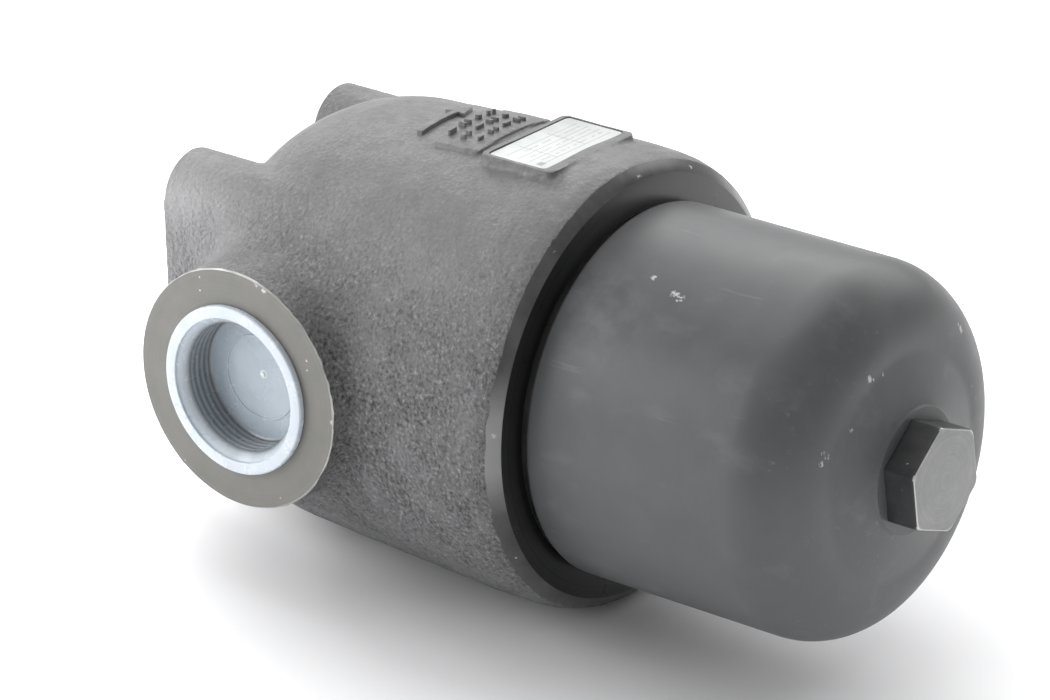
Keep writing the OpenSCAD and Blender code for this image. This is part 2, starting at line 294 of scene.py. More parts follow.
def poly_sdf(P, poly):
    poly = np.array(poly, float)
    d = np.full(len(P), 1e9); inside = np.zeros(len(P), bool)
    for i in range(len(poly)):
        a, b = poly[i], poly[(i + 1) % len(poly)]
        e = b - a; w = P - a
        t = np.clip((w @ e) / (e @ e + 1e-12), 0, 1)
        q = w - t[:, None] * e
        d = np.minimum(d, (q ** 2).sum(1))
        c = ((a[1] > P[:, 1]) != (b[1] > P[:, 1]))
        with np.errstate(divide="ignore", invalid="ignore"):
            xi = (b[0] - a[0]) * (P[:, 1] - a[1]) / (b[1] - a[1] + 1e-30) + a[0]
        inside ^= c & (P[:, 0] < xi)
    d = np.sqrt(d)
    return np.where(inside, -d, d)

TR0, TX0, TD = -2.0, -16.0, 0.5
_nr, _nx = int(130 / TD), int(190 / TD)
_R, _X = np.meshgrid(TR0 + TD * np.arange(_nr), TX0 + TD * np.arange(_nx), indexing="ij")
# mirror the section across the axis, so that the distance has no crease there
_table = poly_sdf(np.stack([_R.ravel(), _X.ravel()], 1), [(-r, x) for r, x in reversed(SECTION)][:-1] + SECTION).reshape(_nr, _nx)

def body_d(x, r):
    u = (r - TR0) / TD; v = (x - TX0) / TD
    i = np.clip(u.astype(np.int64), 0, _nr - 2); j = np.clip(v.astype(np.int64), 0, _nx - 2)
    fu = u - i; fv = v - j
    return ((_table[i, j] * (1 - fu) + _table[i + 1, j] * fu) * (1 - fv) + (_table[i, j + 1] * (1 - fu) + _table[i + 1, j + 1] * fu) * fv)

def box2(a, b, ha, hb, r):
    qa, qb = np.abs(a) - (ha - r), np.abs(b) - (hb - r)
    return np.hypot(np.maximum(qa, 0), np.maximum(qb, 0)) + np.minimum(np.maximum(qa, qb), 0) - r

COLLAR_R = 39.8
FRAME_TOP = float(NP_HI[2]) + 0.3
NP_X = float(NP_LO[0] + NP_HI[0]) / 2

def casting(P):
    x, y, z = P[..., 0], P[..., 1], P[..., 2]
    ay, az = np.abs(y), np.abs(z)
    r = np.hypot(y, z)
    d = body_d(x, r)
    # the web between each pair of bosses drafts inwards away from the back and runs into the dome
    slab = np.maximum(np.maximum(np.abs(ay - BOLT_Y + 0.06 * x) - (14.2 - 0.06 * x), az - BOLT_Z), np.maximum(x - 56, -3 - x))
    d = smin(d, slab, 8.0)
    # bolting bosses stay round all the way to the dome
    rod = np.maximum(np.hypot(ay - BOLT_Y, az - BOLT_Z) - 14.2, np.maximum(x - 95, -3 - x))
    d = smin(d, rod, 2.6)
    # port necks
    neck = np.maximum(np.hypot(x - PORT_X, z) - COLLAR_R, np.maximum(ay - 80, 20 - ay))
    d = smin(d, neck, 5.5)
    # name plate table with draft, then the relief pad beside it
    low = np.maximum(FRAME_TOP - z, 0) * 0.10
    fr = box2(x - NP_X - 0.6, y, 14.2 + low, 21.3 + low, 2.6)
    fr = smax(np.maximum(fr, z - FRAME_TOP), 50 - z, 1.0)
    d = smin(d, fr, 1.3)
    pad = smax(body_d(x, r) - 1.35, box2(x - 93.5, y - 1.0, 9.6, 18.6, 2.0), 0.7)
    pad = np.maximum(pad, 40 - z)
    d = smin(d, pad, 0.9)
    return d

def raised_marks():
    """Blunt strokes cast proud of the pad, and a flow arrow towards the outlet. Each rides on the curve of the casting."""
    seg = 192
    bars = []
    k = 0
    for i in range(3):
        for j in range(4):
            cx, cy = 86.8 + 5.7 * i, -10.8 + 6.5 * j
            k += 1
            a, b = ((3.4, 1.2), (1.3, 3.6), (2.6, 1.3), (1.3, 2.4), (2.2, 2.2))[(i * 7 + j * 3 + k) % 5]
            loop = np.array(plate_loop(a, b, min(a, b) * 0.42, 3))
            if (i + j) % 2:
                loop2 = loop + (0.0, 1.9)
                bars.append(prism("m", loop2 * (0.9, 0.6), 66, 90, origin=(cx, cy, 0)))
                loop = loop * (0.9, 0.6) - (0.0, 1.5)
            bars.append(prism("m", loop, 66, 90, origin=(cx, cy, 0)))
    marks = join(bars, "marks")
    boolean(marks, lathe("marks_top", [(70, 0), (70, 75.55), (115, 75.9), (115, 0)], seg), "INTERSECT")
    arrow = prism("arrow", [(-1.15, -13.6), (1.15, -13.6), (1.15, 4.4), (3.9, 4.0), (0.2, 12.8), (-0.2, 12.8), (-3.9, 4.0), (-1.15, 4.4)], 66, 90, origin=(75.6, 0, 0))
    boolean(arrow, lathe("arrow_top", [(60, 0), (60, 72.9), (90, 74.1), (90, 0)], seg), "INTERSECT")
    out = join([marks, arrow], "raised")
    bm = bmesh.new(); bm.from_mesh(out.data)
    bmesh.ops.remove_doubles(bm, verts=bm.verts, dist=1e-6)
    bmesh.ops.dissolve_limit(bm, angle_limit=math.radians(4), verts=bm.verts, edges=bm.edges)
    ed = [e for e in bm.edges if len(e.link_faces) == 2 and e.calc_face_angle(0) > math.radians(35) and (e.verts[0].co.z + e.verts[1].co.z) / 2 > 0.0675]
    bmesh.ops.bevel(bm, geom=ed, offset=0.22 * MM, segments=2, profile=0.5, affect="EDGES", clamp_overlap=True)
    bm.to_mesh(out.data); bm.free()
    return out

def surface_nets(F, lo, h):
    s = F < 0
    nx, ny, nz = F.shape
    cnt = np.zeros((nx - 1, ny - 1, nz - 1), np.uint8)
    for a in (0, 1):
        for b in (0, 1):
            for c in (0, 1):
                cnt += s[a:nx - 1 + a, b:ny - 1 + b, c:nz - 1 + c]
    act = (cnt > 0) & (cnt < 8)
    I, J, K = np.nonzero(act)
    idx = np.full(act.shape, -1, np.int64); idx[act] = np.arange(len(I))
    P = np.zeros((len(I), 3)); W = np.zeros(len(I))
    corners = [(a, b, c) for a in (0, 1) for b in (0, 1) for c in (0, 1)]
    for ca in corners:
        for ax in range(3):
            if ca[ax]:
                continue
            cb = list(ca); cb[ax] = 1
            va = F[I + ca[0], J + ca[1], K + ca[2]]; vb = F[I + cb[0], J + cb[1], K + cb[2]]
            m = (va < 0) != (vb < 0)
            t = np.where(m, va / np.where(m, va - vb, 1), 0)
            p = np.tile(np.array(ca, float), (len(I), 1)); p[:, ax] += t
            P[m] += p[m]; W[m] += 1
    P = P / W[:, None] + np.stack([I, J, K], 1)
    V = np.array(lo) + P * h
    quads = []
    for ax in range(3):
        sl0 = [slice(None)] * 3; sl1 = [slice(None)] * 3
        sl0[ax] = slice(0, -1); sl1[ax] = slice(1, None)
        a, b = s[tuple(sl0)], s[tuple(sl1)]
        cr = a != b
        o1, o2 = (ax + 1) % 3, (ax + 2) % 3
        ij = np.stack(np.nonzero(cr), 1)
        ok = (ij[:, o1] > 0) & (ij[:, o2] > 0) & (ij[:, o1] < F.shape[o1] - 1) & (ij[:, o2] < F.shape[o2] - 1)
        ij = ij[ok]
        def cell(d1, d2):
            q = ij.copy(); q[:, o1] -= d1; q[:, o2] -= d2
            return idx[q[:, 0], q[:, 1], q[:, 2]]
        Q = np.stack([cell(0, 0), cell(1, 0), cell(1, 1), cell(0, 1)], 1)
        out = a[ij[:, 0], ij[:, 1], ij[:, 2]]
        Q[~out] = Q[~out][:, ::-1]
        quads.append(Q)
    return V, np.concatenate(quads)

def grad(f, P, e=0.05):
    g = np.zeros_like(P)
    for k in range(3):
        d = np.zeros(3); d[k] = e
        g[:, k] = (f(P + d) - f(P - d)) / (2 * e)
    return g

def build_casting():
    h = 0.85
    lo = np.array([-6.0, -83.0, -79.0]); hi = np.array([157.0, 83.0, 81.0])
    n = np.ceil((hi - lo) / h).astype(int) + 1
    xs, ys, zs = (lo[k] + h * np.arange(n[k]) for k in range(3))
    F = np.empty(tuple(n), np.float32)
    Y, Z = np.meshgrid(ys, zs, indexing="ij")
    for i, x in enumerate(xs):
        F[i] = casting(np.stack([np.full_like(Y, x), Y, Z], -1))
    V, Q = surface_nets(F, lo, h)
    for _ in range(3):                       # pull every point on to the true surface
        d = casting(V); g = grad(casting, V)
        V = V - g * (d / np.maximum((g ** 2).sum(1), 0.25))[:, None]
    g = grad(casting, V, 0.3); nrm = g / (np.linalg.norm(g, axis=1)[:, None] + 1e-9)
    # cast relief: broad waviness, then sand lumps that are coarser low on the near side
    rough = 0.30 + 0.70 * np.clip((56 - V[:, 2]) / 34, 0, 1)
    plate_top = (V[:, 2] > FRAME_TOP - 0.4) & (np.abs(V[:, 0] - NP_X) < 17) & (np.abs(V[:, 1]) < 24)
    rough = np.where(plate_top, 0.2, rough)
    # the near flank of the name plate table and the foot of the pad broke away raggedly from the mould
    ragged = np.clip(1 - np.abs(V[:, 1] + 22.5) / 2.6, 0, 1) * (np.abs(V[:, 0] - NP_X) < 17) * (V[:, 2] > 55)
    ragged = np.maximum(ragged, np.clip(1 - np.abs(V[:, 1] + 18.4) / 1.8, 0, 1) * (np.abs(V[:, 0] - 93) < 11) * (V[:, 2] > 55))
    amp = 0.15 * vnoise(V, 15.0, 3) + 0.13 * vnoise(V, 5.5, 5) * rough + 0.26 * vnoise(V, 2.3, 7) * rough * (0.6 + 0.4 * vnoise(V, 21.0, 9)) + 0.34 * ragged * vnoise(V, 2.1, 11)
    V = V + nrm * (amp - 0.03)[:, None]
    return new_obj("filter_head_casting", V, Q)

# ------------------------------------------------------------------ node material helpers
def srgb(c):
    return tuple((x / 12.92 if x <= 0.04045 else ((x + 0.055) / 1.055) ** 2.4) for x in c) + (1.0,)

class Mat:
    def __init__(self, name):
        self.m = bpy.data.materials.new(name)
        self.m.use_nodes = True
        self.t = self.m.node_tree
        self.n = self.t.nodes; self.l = self.t.links
        self.b = next(x for x in self.n if x.type == "BSDF_PRINCIPLED")
        tc = self.n.new("ShaderNodeTexCoord")
        mp = self.n.new("ShaderNodeVectorMath"); mp.operation = "SCALE"
        mp.inputs["Scale"].default_value = 1000.0
        self.l.new(tc.outputs["Object"], mp.inputs[0])
        self.P = mp.outputs[0]       # position in mm
    def set(self, **k):
        for a, v in k.items():
            key = {"base": "Base Color", "rough": "Roughness", "metal": "Metallic", "spec": "Specular IOR Level", "coat": "Coat Weight", "coatr": "Coat Roughness",
                   "trans": "Transmission Weight", "ior": "IOR", "sss": "Subsurface Weight", "sheen": "Sheen Weight", "alpha": "Alpha"}[a]
            self.put(self.b.inputs[key], v)
        return self
    def put(self, sock, v):
        if isinstance(v, bpy.types.NodeSocket):
            self.l.new(v, sock)
        else:
            sock.default_value = v
    def noise(self, scale_mm, detail=4.0, rough=0.55, dist=0.0, vec=None, stretch=None, offset=(0, 0, 0)):
        v = vec or self.P
        if stretch or any(offset):
            m = self.n.new("ShaderNodeMapping")
            m.inputs["Scale"].default_value = stretch or (1, 1, 1)
            m.inputs["Location"].default_value = offset
            self.l.new(v, m.inputs["Vector"]); v = m.outputs[0]
        t = self.n.new("ShaderNodeTexNoise")
        t.inputs["Scale"].default_value = 1.0 / scale_mm
        t.inputs["Detail"].default_value = detail
        t.inputs["Roughness"].default_value = rough
        t.inputs["Distortion"].default_value = dist
        self.l.new(v, t.inputs["Vector"])
        return t.outputs["Fac"]
    def voronoi(self, scale_mm, feature="F1", rnd=1.0, vec=None, out="Distance"):
        t = self.n.new("ShaderNodeTexVoronoi"); t.feature = feature
        t.inputs["Scale"].default_value = 1.0 / scale_mm
        t.inputs["Randomness"].default_value = rnd
        self.l.new(vec or self.P, t.inputs["Vector"])
        return t.outputs[out]
    def ramp(self, fac, stops, interp="LINEAR"):
        r = self.n.new("ShaderNodeValToRGB"); r.color_ramp.interpolation = interp
        e = r.color_ramp.elements
        while len(e) < len(stops):
            e.new(0.5)
        for k, (p, c) in enumerate(stops):
            e[k].position = p
            e[k].color = c if isinstance(c, (tuple, list)) else (c, c, c, 1)
        self.put(r.inputs[0], fac)
        return r.outputs[0]
    def mix(self, fac, a, b, blend="MIX"):
        m = self.n.new("ShaderNodeMix"); m.data_type = "RGBA"; m.blend_type = blend
        self.put(m.inputs[0], fac); self.put(m.inputs[6], a); self.put(m.inputs[7], b)
        return m.outputs[2]
    def math(self, op, a, b=0.0, clamp=False):
        m = self.n.new("ShaderNodeMath"); m.operation = op; m.use_clamp = clamp
        self.put(m.inputs[0], a); self.put(m.inputs[1], b)
        return m.outputs[0]
    def maprange(self, v, a, b, c=0.0, d=1.0):
        m = self.n.new("ShaderNodeMapRange")
        self.put(m.inputs[0], v)
        for i, x in zip((1, 2, 3, 4), (a, b, c, d)):
            m.inputs[i].default_value = x
        return m.outputs[0]
    def bump(self, height, dist_mm, strength=1.0, normal=None):
        b = self.n.new("ShaderNodeBump")
        b.inputs["Distance"].default_value = dist_mm * MM
        self.put(b.inputs["Strength"], strength)
        self.l.new(height, b.inputs["Height"])
        if normal is not None:
            self.l.new(normal, b.inputs["Normal"])
        self.l.new(b.outputs[0], self.b.inputs["Normal"])
        return b.outputs[0]
    def xyz(self):
        s = self.n.new("ShaderNodeSeparateXYZ"); self.l.new(self.P, s.inputs[0])
        return s.outputs
    def near(self, c, r0, r1):
        """1 inside r0 mm of a point, 0 outside r1."""
        d = self.n.new("ShaderNodeVectorMath"); d.operation = "DISTANCE"
        self.l.new(self.P, d.inputs[0]); d.inputs[1].default_value = c
        return self.maprange(d.outputs["Value"], r0, r1, 1.0, 0.0)
    def chips(self, marks, jag_mm=1.3, stretch=None):
        """Ragged pale spots at fixed points: marks holds ((x, y, z), radius)."""
        k = None
        for c, r in marks:
            q = self.near(c, r * 0.35, r * 1.7)
            k = q if k is None else self.math("MAXIMUM", k, q)
        jag = self.maprange(self.noise(jag_mm, 5, 0.72, stretch=stretch), 0.32, 0.68)
        return self.maprange(self.math("ADD", self.math("MULTIPLY", k, 0.50), self.math("MULTIPLY", jag, 0.52)), 0.70, 0.80)
    def attr(self, name):
        a = self.n.new("ShaderNodeAttribute"); a.attribute_name = name
        return a.outputs["Fac"]

def mat_cast():
    m = Mat("cast_head_skin")
    big = m.noise(38, 3); mid = m.noise(6, 5, 0.6); fine = m.noise(1.25, 4, 0.62); grit = m.noise(0.6, 2, 0.5)
    cell = m.voronoi(1.5, "SMOOTH_F1")
    x, y, z = m.xyz()
    # the flanks keep the coarsest sand texture; the crown is smoother
    flank = m.maprange(z, 58, 18, 0.24, 1.0)
    patch = m.maprange(m.noise(19, 2), 0.34, 0.60, 0.55, 1.0)
    strength = m.math("MULTIPLY", flank, patch)
    base = m.mix(m.maprange(big, 0.3, 0.7), srgb((0.415, 0.415, 0.42)), srgb((0.45, 0.45, 0.45)))
    base = m.mix(m.maprange(mid, 0.38, 0.72, 0, 0.45), base, srgb((0.37, 0.37, 0.375)))
    pits = m.maprange(fine, 0.36, 0.48, 0.9, 0.0)
    base = m.mix(m.math("MULTIPLY", pits, strength), base, srgb((0.17, 0.17, 0.17)))
    tips = m.maprange(fine, 0.56, 0.68, 0.0, 0.85)
    base = m.mix(m.math("MULTIPLY", tips, strength), base, srgb((0.64, 0.645, 0.65)))
    # painted light: the near left bosses, low at the back, are lightened as if the left lamp fell on them
    pale = m.math("MULTIPLY", m.maprange(x, 46, 12), m.maprange(y, -24, -44), clamp=True)
    pale = m.math("MULTIPLY", pale, m.maprange(z, 58, 46, 0.2, 1.0))
    base = m.mix(m.math("MULTIPLY", pale, 0.62), base, srgb((0.66, 0.66, 0.665)))
    h = m.math("ADD", m.math("MULTIPLY", fine, 1.0), m.math("MULTIPLY", grit, 0.28))
    h = m.math("SUBTRACT", h, m.math("MULTIPLY", cell, 0.45))
    m.bump(h, 2.6, strength)
    m.set(base=base, rough=m.maprange(mid, 0.3, 0.7, 0.40, 0.56), metal=0.0, spec=0.5)
    return m.m

def mat_machined(name, a, b, rough=(0.34, 0.5), rings=None, nick=0.0, metal=0.25, marks=(), ring_amp=0.10, spec=0.5, fade=None, patch=None):
    """Turned and phosphated surface. rings: centre axis 'X', 'Y+' for lathe marks."""
    m = Mat(name)
    x, y, z = m.xyz()
    if rings == "X":
        rad = m.math("SQRT", m.math("ADD", m.math("MULTIPLY", y, y), m.math("MULTIPLY", z, z)))
    elif rings == "Y":
        dx = m.math("SUBTRACT", x, PORT_X)
        rad = m.math("SQRT", m.math("ADD", m.math("MULTIPLY", dx, dx), m.math("MULTIPLY", z, z)))
    else:
        rad = None
    mottle = m.noise(11, 4, 0.6); fine = m.noise(0.9, 3)
    base = m.mix(m.maprange(mottle, 0.35, 0.68), srgb(a), srgb(b))
    if rad is not None:
        cv = m.n.new("ShaderNodeCombineXYZ"); m.put(cv.inputs[0], rad); cv.inputs[1].default_value = 3.3
        rings_f = m.noise(0.35, 2, 0.6, vec=cv.outputs[0])
        base = m.mix(m.maprange(rings_f, 0.3, 0.7, 0.0, ring_amp), base, srgb((0.8, 0.8, 0.78)))
        m.bump(m.math("ADD", rings_f, m.math("MULTIPLY", fine, 0.35)), 0.03, 0.7)
    else:
        m.bump(fine, 0.03, 0.7)
    # fade lightens the colour across y: painted light, used only on the ring face
    if fade:
        base = m.mix(m.maprange(y, fade[0], fade[1]), base, srgb(fade[2]))
    # patch mixes a paler pool of colour round one point: painted light, used only on the turned cone
    if patch:
        base = m.mix(m.math("MULTIPLY", m.near(patch[0], patch[1], patch[2]), 0.85), base, srgb(patch[3]))
    if nick:
        nk = m.maprange(m.noise(1.7, 5, 0.7), 0.685, 0.72, 0.0, nick)
        base = m.mix(nk, base, srgb((0.80, 0.80, 0.80)))
    if marks:
        base = m.mix(m.math("MULTIPLY", m.chips(marks, 1.1), 0.9), base, srgb((0.80, 0.80, 0.79)))
    m.set(base=base, rough=m.maprange(mottle, 0.3, 0.7, *rough), metal=metal, spec=spec)
    return m.m

def mat_bowl():
    m = Mat("bowl_satin")
    x, y, z = m.xyz()
    big = m.noise(48, 3, 0.5); cloud = m.noise(11, 5, 0.62); fine = m.noise(0.45, 2); peel = m.noise(2.6, 3)
    base = m.mix(m.maprange(big, 0.3, 0.7), srgb((0.312, 0.317, 0.322)), srgb((0.346, 0.349, 0.352)))
    base = m.mix(m.maprange(cloud, 0.42, 0.78, 0, 0.4), base, srgb((0.385, 0.388, 0.392)))
    # a long faint rub and soft smears where the bowl has been handled
    rub = m.math("MULTIPLY", m.maprange(m.noise(2.4, 5, 0.7, stretch=(0.08, 1, 1)), 0.60, 0.70), m.maprange(m.noise(26, 2, offset=(7, 3, 1)), 0.52, 0.62), clamp=True)
    base = m.mix(m.math("MULTIPLY", rub, 0.30), base, srgb((0.56, 0.56, 0.565)))
    smear = m.maprange(m.noise(15, 4, 0.6, stretch=(0.5, 1, 1), offset=(2, 9, 4)), 0.58, 0.74)
    base = m.mix(m.math("MULTIPLY", smear, 0.22), base, srgb((0.50, 0.505, 0.515)))
    thumb = m.math("MULTIPLY", m.near((169, -41, 44), 4, 24), m.maprange(m.noise(9, 4, 0.6, offset=(3, 1, 6)), 0.35, 0.62), clamp=True)
    base = m.mix(m.math("MULTIPLY", thumb, 0.45), base, srgb((0.47, 0.475, 0.49)))
    chip = m.chips(CHIPS, 1.7, stretch=(0.8, 1, 0.42))
    dots = m.maprange(m.noise(0.9, 2, 0.5, offset=(5, 5, 5)), 0.80, 0.83, 0.0, 0.6)
    base = m.mix(dots, base, srgb((0.66, 0.66, 0.66)))
    base = m.mix(m.math("MULTIPLY", chip, 0.9), base, srgb((0.74, 0.74, 0.74)))
    h = m.math("ADD", m.math("MULTIPLY", peel, 0.6), m.math("MULTIPLY", fine, 0.4))
    h = m.math("SUBTRACT", h, m.math("MULTIPLY", chip, 1.5))
    m.bump(h, 0.04, 0.8)
    m.set(base=base, rough=m.maprange(cloud, 0.3, 0.7, 0.40, 0.50), metal=0.0, spec=0.42)
    return m.m

def mat_plug():
    """Polythene with a little transmission: the brighter lip, the dimmer cup floor and the dark wall banded at the
    thread pitch are painted light and shade.
    """
    m = Mat("plug_painted_shading")
    x, y, z = m.xyz()
    n = m.noise(7, 3)
    dx = m.math("SUBTRACT", x, PORT_X)
    rad = m.math("SQRT", m.math("ADD", m.math("MULTIPLY", dx, dx), m.math("MULTIPLY", z, z)))
    depth = m.math("ADD", y, PORT_Y)
    # painted light and shade by position: lit lip, dimmer floor, shaded wall with bands where the port thread would
    # show
    lip = m.mix(m.maprange(n, 0.3, 0.7), srgb((0.79, 0.825, 0.86)), srgb((0.84, 0.87, 0.90)))
    floor = m.mix(m.maprange(m.noise(16, 3), 0.3, 0.7), srgb((0.64, 0.69, 0.73)), srgb((0.72, 0.76, 0.795)))
    wall = m.mix(m.maprange(m.math("SINE", m.math("MULTIPLY", depth, TAU / 2.309)), -1, 1), srgb((0.42, 0.44, 0.46)), srgb((0.61, 0.635, 0.65)))
    base = m.mix(m.maprange(rad, 20.0, 21.0), floor, wall)
    base = m.mix(m.maprange(depth, 1.9, -0.3), base, lip)
    # a near-white spot is painted on the gate nub
    base = m.mix(m.near((PORT_X + 1.2, -PORT_Y + 11.4, 1.4), 1.1, 1.5), base, srgb((0.92, 0.94, 0.95)))
    m.bump(m.noise(3.5, 2), 0.04, 0.25)
    m.set(base=base, rough=m.maprange(n, 0.3, 0.7, 0.20, 0.32), spec=0.5, ior=1.5, trans=0.10)
    return m.m

def mat_simple(name, a, b, rough=(0.4, 0.6), metal=0.0, scale=4.0, bump=0.04, fine=0.7, stretch=None, spec=0.5, wear=0.0):
    m = Mat(name)
    n1 = m.noise(scale, 4, 0.6, stretch=stretch); n2 = m.noise(fine, 3, 0.6, stretch=stretch)
    base = m.mix(m.maprange(n1, 0.3, 0.7), srgb(a), srgb(b))
    if wear:
        base = m.mix(m.maprange(m.noise(1.6, 5, 0.7), 0.6, 0.68, 0, wear), base, srgb((0.8, 0.8, 0.79)))
    m.bump(n2, bump, 0.8)
    m.set(base=base, rough=m.maprange(n1, 0.3, 0.7, *rough), metal=metal, spec=spec)
    return m.m

# ------------------------------------------------------------------ head
def head_cutters():
    """Closed solids that machine the casting: rear face, ring face with its turned cone, the bore with its thread, and
    the port collar faces.
    """
    seg = 256
    st = 0.2
    c = []
    c.append(box_obj("cut_rear", (-30, -120, -120), (0, 120, 120)))
    k = lambda x: 69.0 + (HEAD_LEN - x) * 1.3
    c.append(lathe("cut_face", [(HEAD_LEN, 0), (HEAD_LEN, 58.9), (HEAD_LEN, 69.0 - 0.15), (HEAD_LEN - 0.15, k(HEAD_LEN - 0.15) - 0.03), (146.2, k(146.2)), (146.2, 95), (172, 95), (172, 0)], seg))
    rows = [(20.0, 0), (20.0, 44.5), (20.8, 46.2), (22.5, 47.0), (95.9, 47.0), (96.0, 54.08 - 1.2), (97.2, 54.08), (120.2, 54.08), (121.0, 54.9), (121.0, 56.0), (122.5, 57.5)]
    rows += thread_rows(123.0, 150.2, 4.0, 57.5, -2.1, st, seg, taper=0.6)
    rows += [(150.6, 57.5), (HEAD_LEN - 0.12, 58.78), (HEAD_LEN + 0.1, 58.95), (172, 58.95), (172, 0)]
    c.append(lathe("cut_bore", rows, seg))
    for s in (-1, 1):
        rows = [(PORT_Y, 0), (PORT_Y, COLLAR_R - 0.42), (PORT_Y - 0.55, COLLAR_R + 0.08), (PORT_Y - 0.9, COLLAR_R + 0.12), (PORT_Y - 0.9, 43.5), (PORT_Y + 9, 43.5), (PORT_Y + 9, 0)]
        c.append(lathe("cut_collar", rows, seg, axis="Y" if s > 0 else "-Y", origin=(PORT_X, 0, 0)))
    return c

def head_late_cutters():
    seg = 176
    st = 0.2
    c = []
    c.append(lathe("cut_elbow", [(27, 0), (27, 11.0), (33.2, 11.0), (34.0, 11.8), (34.0, 19.0), (35.0, 20.0), (81.0, 20.0), (81.0, 21.3), (82.7, 21.3), (82.7, 20.0), (85.0, 20.0), (85.5, 21.5)]
                   + thread_rows(86.0, 97.4, 2.0, 21.5, -1.0, st, seg, taper=0.6) + [(97.5, 21.5), (98.4, 22.4), (99.5, 22.4), (99.5, 0)], seg))
    for s in (-1, 1):
        rows = ([(-1.0 if s > 0 else 36.0, 0), (-1.0 if s > 0 else 36.0, 19.0), (PORT_Y - 24.6, 19.0), (PORT_Y - 24.0, 19.6), (PORT_Y - 24.0, PORT_R + 1.35), (PORT_Y - 21.6, PORT_R + 1.35), (PORT_Y - 20.9, PORT_R)]
                + thread_rows(PORT_Y - 20.6, PORT_Y - 1.4, 2.309, PORT_R, -1.4, st, seg, taper=0.5))
        # the lead-in cone swallows the last turns of the thread
        rows = [(a, np.maximum(b, 24.7 - (PORT_Y - a) * 1.04) if a > PORT_Y - 3.2 else b) for a, b in rows]
        rows += [(PORT_Y - 0.25, 24.55), (PORT_Y + 0.2, 24.95), (PORT_Y + 9, 24.95), (PORT_Y + 9, 0)]
        c.append(lathe("cut_port", rows, seg, axis="Y" if s > 0 else "-Y", origin=(PORT_X, 0, 0)))
    seg = 72
    for s in (-1, 1):
        for t in (-1, 1):
            rows = [(-9, 0), (-9, 6.3), (-0.2, 6.3), (1.0, 5.1)] + thread_rows(1.2, 18.6, 1.75, 5.1, -0.8, 0.25, seg, taper=0.5) + [(20.0, 5.1), (22.9, 0)]
            c.append(lathe("cut_bolt", rows, seg, origin=(0, s * BOLT_Y, t * BOLT_Z)))
    pw, pl = NP_HI[0] - NP_LO[0] + 0.7, NP_HI[1] - NP_LO[1] + 0.7
    c.append(prism("cut_plate", plate_loop(pw, pl, 1.9), NP_LO[2], 84.0, origin=(NP_X, 0, 0)))
    return c

def paint_faces(ob, mats, rule):
    """rule(centres_mm, normals) -> material index per face."""
    me = ob.data
    me.materials.clear()
    for m in mats:
        me.materials.append(m)
    n = len(me.polygons)
    cen = np.zeros(n * 3, np.float32); me.polygons.foreach_get("center", cen)
    nor = np.zeros(n * 3, np.float32); me.polygons.foreach_get("normal", nor)
    idx = rule(cen.reshape(-1, 3).astype(float) * 1000, nor.reshape(-1, 3).astype(float))
    me.polygons.foreach_set("material_index", idx.astype(np.int32))
    me.update()

def head_rule(c, n):
    x, y, z = c[:, 0], c[:, 1], c[:, 2]
    ay = np.abs(y); r = np.hypot(y, z); rp = np.hypot(x - PORT_X, z)
    idx = np.zeros(len(c), int)                                            # 0 casting skin
    bore = (r < np.where(x > 95.5, 60.2, 48.5)) & (x > 19.5) & (x < HEAD_LEN - 0.02)
    idx[bore] = 2                                                          # 2 bores
    duct = bore & (x > 27.5) & (x < 98.5) & (r > 27.2) & (r < 47.5) & ~((ay > 26) & (rp < 19.2))
    wall = bore & (r > 46.7) & (r < 47.3) & (x < 95.5)
    idx[duct] = 0
    idx[wall] = 2
    idx[(rp < 25.1) & (ay > 20) & (ay < PORT_Y - 0.02)] = 2
    idx[(x < 0.03) & (n[:, 0] < -0.9)] = 1                                  # 1 machined faces seen from the ports and the back
    idx[(ay > PORT_Y - 0.03) & (np.abs(n[:, 1]) > 0.9)] = 3                 # 3 port collar face
    ch = (ay > PORT_Y - 0.6) & (ay <= PORT_Y - 0.02) & (rp > 39.0) & (rp < 40.5) & (np.abs(n[:, 1]) > 0.3)
    idx[ch] = 4                                                            # 4 bright edge: painted highlight on the collar chamfer and the port mouth
    inner = (ay > PORT_Y - 2.4) & (rp > 22) & (rp < 25.2)
    idx[inner] = 4
    idx[(x > HEAD_LEN - 0.03) & (r > 58) & (n[:, 0] > 0.9)] = 5             # 5 ring face
    cone = (x > 145.5) & (x <= HEAD_LEN - 0.03) & (r > 68) & (np.abs(r - (69.0 + (HEAD_LEN - x) * 1.3)) < 0.12) & (n[:, 0] > 0.5)
    idx[cone] = 6                                                          # 6 turned cone
    # the mouth chamfer of the ring face also gets the pale edge colour: a painted highlight line
    idx[(x > 150.55) & (x < HEAD_LEN + 0.01) & (r > 57.3) & (r < 59.05) & (n[:, 0] > 0.3) & (n[:, 0] < 0.99)] = 4
    bolt = (np.hypot(ay - BOLT_Y, np.abs(z) - BOLT_Z) < 6.4) & (x < 24)
    idx[bolt] = 2
    return idx

def build_head():
    ob = build_casting()
    boolean(ob, raised_marks(), "UNION")
    for c in head_cutters():
        boolean(ob, c)
    seg = 128
    duct = lathe("duct_x", [(28.0, 0), (28.0, 26.5), (29.5, 28.0), (97.2, 28.0), (98.0, 27.2), (98.0, 0)], seg)
    duct_y = lathe("duct_y", [(0.0, 0), (0.0, 24.5), (49.5, 24.5), (49.5, 0)], seg, axis="Y", origin=(PORT_X, 0, 0))
    boolean(duct, duct_y, "UNION")
    boolean(ob, duct, "UNION")
    for c in head_late_cutters():
        boolean(ob, c)
    merge_close(ob, 2e-6)
    ob.name = "head_casting"; ob.data.name = "head_casting"
    ob.data.polygons.foreach_set("use_smooth", np.ones(len(ob.data.polygons), bool))
    ob.data.set_sharp_from_angle(angle=math.radians(38))
    return ob

